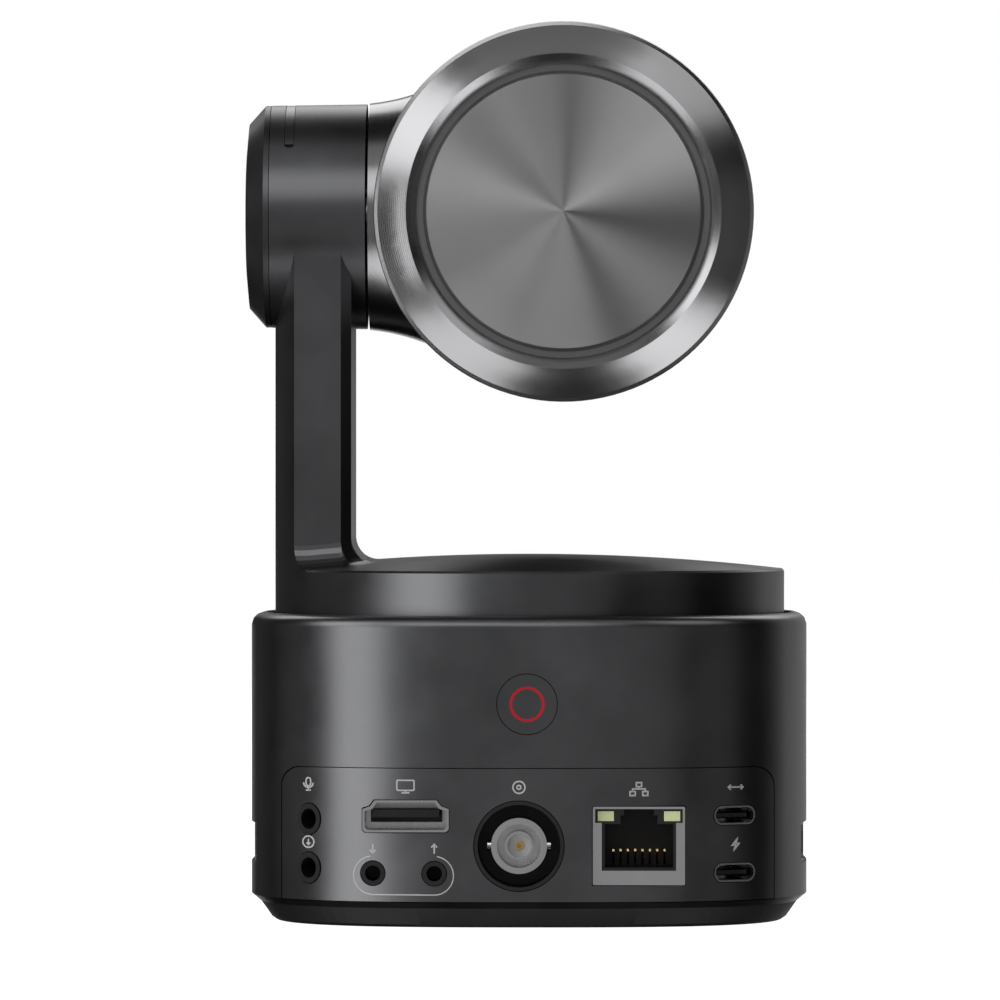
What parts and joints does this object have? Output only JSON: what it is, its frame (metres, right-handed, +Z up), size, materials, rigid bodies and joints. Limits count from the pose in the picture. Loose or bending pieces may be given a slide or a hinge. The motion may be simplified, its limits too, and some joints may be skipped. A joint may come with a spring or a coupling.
{
  "type": "ptz camera",
  "caption": "Desktop pan-tilt-roll camera: squared-round base with a rear port panel, a domed turntable, one arm and a round camera head",
  "frame": {"origin": "mouth of the tripod socket, at the centre of the underside", "axes": "+Z up along the pan axis, +Y to the rear where the ports are, the lens looks along -Y, and the arm stands on the +X side"},
  "size_m": [0.0998, 0.0986, 0.1576],
  "materials": {
    "graphite_shell": "satin, fine grain",
    "graphite_panel": "satin",
    "graphite_cap": "satin",
    "slot_grey": "satin",
    "black_cover": "matte",
    "rubber": "matte",
    "brass": "machined",
    "screw_steel": "blackened",
    "connector_metal": "plated",
    "socket_black": "moulded",
    "gold_contact": "plated",
    "insulator_white": "smooth",
    "socket_light": "clear moulding",
    "circuit_board": "solder mask",
    "battery_wrap": "heat-shrink film",
    "frame_aluminium": "machined",
    "copper_winding": "enamelled wire and laminations",
    "bearing_steel": "ground",
    "rotor_iron": "blackened",
    "head_metal": "satin anodised",
    "turned_disc": "finely turned, anodised",
    "red_light": "translucent",
    "lens_black": "matte",
    "window_glass": "coated glass",
    "lens_glass": "coated glass",
    "sensor_board": "silicon and board"
  },
  "bodies": {
    "base": {"base_shell": "graphite_shell", "port_panel": "graphite_panel", "bottom_cover": "black_cover", "rubber_pad": "rubber", "tripod_insert": "brass", "base_screws": "screw_steel", "hdmi_shell": "connector_metal", "hdmi_tongue": "socket_black", "bnc_well": "socket_black", "bnc_barrel": "connector_metal", "bnc_insulator": "insulator_white", "bnc_pin": "gold_contact", "rj45_shield": "connector_metal", "rj45_insert": "socket_black", "rj45_contacts": "gold_contact", "rj45_lights": "socket_light", "usb_c_shells": "connector_metal", "usb_c_tongues": "socket_black", "audio_jacks": "socket_black", "serial_jacks": "socket_black", "io_board": "circuit_board", "main_board": "circuit_board", "battery_pack": "battery_wrap", "motor_deck": "frame_aluminium", "pan_motor_stator": "copper_winding", "pan_bearing_outer": "bearing_steel", "button_switch": "socket_black", "card_slot": "connector_metal", "card_door_pin": "bearing_steel", "side_vent": "black_cover"},
    "button": {"record_button": "graphite_shell", "button_light_ring": "red_light"},
    "door": {"card_door": "graphite_cap"},
    "pan": {"yoke_arm": "graphite_shell", "tilt_end_cap": "graphite_cap", "slot_inlay": "slot_grey", "turntable_plate": "frame_aluminium", "pan_shaft": "bearing_steel", "pan_motor_rotor": "rotor_iron", "pan_bearing_inner": "bearing_steel", "tilt_motor_stator": "copper_winding", "tilt_bearing_outer": "bearing_steel"},
    "tilt": {"head_frame": "head_metal", "rear_bezel_ring": "head_metal", "rear_disc": "turned_disc", "tilt_shaft": "bearing_steel", "tilt_motor_rotor": "rotor_iron", "tilt_bearing_inner": "bearing_steel", "roll_bulkhead": "frame_aluminium", "roll_motor_stator": "copper_winding", "roll_bearing_outer": "bearing_steel"},
    "roll": {"lens_housing": "lens_black", "front_bezel": "lens_black", "front_window": "window_glass", "front_lens_group": "lens_glass", "guide_rods": "bearing_steel", "image_sensor": "sensor_board", "roll_shaft_and_rotor": "rotor_iron"},
    "zoom": {"zoom_cell": "lens_black"},
    "focus": {"focus_cell": "lens_black"}
  },
  "joints": [
    {"name": "pan", "type": "hinge", "parent": "base", "child": "pan", "pos_m": [0, 0, 0.05], "axis": [0, 0, 1], "range_deg": [-160, 160]},
    {"name": "tilt", "type": "hinge", "parent": "pan", "child": "tilt", "pos_m": [0.0289, 0, 0.1245], "axis": [1, 0, 0], "range_deg": [-90, 35]},
    {"name": "roll", "type": "hinge", "parent": "tilt", "child": "roll", "pos_m": [-0.0063, 0, 0.1245], "axis": [0, 1, 0], "range_deg": [-90, 90]},
    {"name": "zoom", "type": "slide", "parent": "roll", "child": "zoom", "axis": [0, 1, 0], "range_m": [-0.002, 0.016]},
    {"name": "focus", "type": "slide", "parent": "roll", "child": "focus", "axis": [0, 1, 0], "range_m": [-0.003, 0.005]},
    {"name": "record_press", "type": "slide", "parent": "base", "child": "button", "axis": [0, -1, 0], "range_m": [0, 0.0004], "stiffness_N_per_m": 600},
    {"name": "card_door_swing", "type": "hinge", "parent": "base", "child": "door", "pos_m": [0.0479, 0, 0.0117], "axis": [0, 1, 0], "range_deg": [0, 90]}
  ]
}
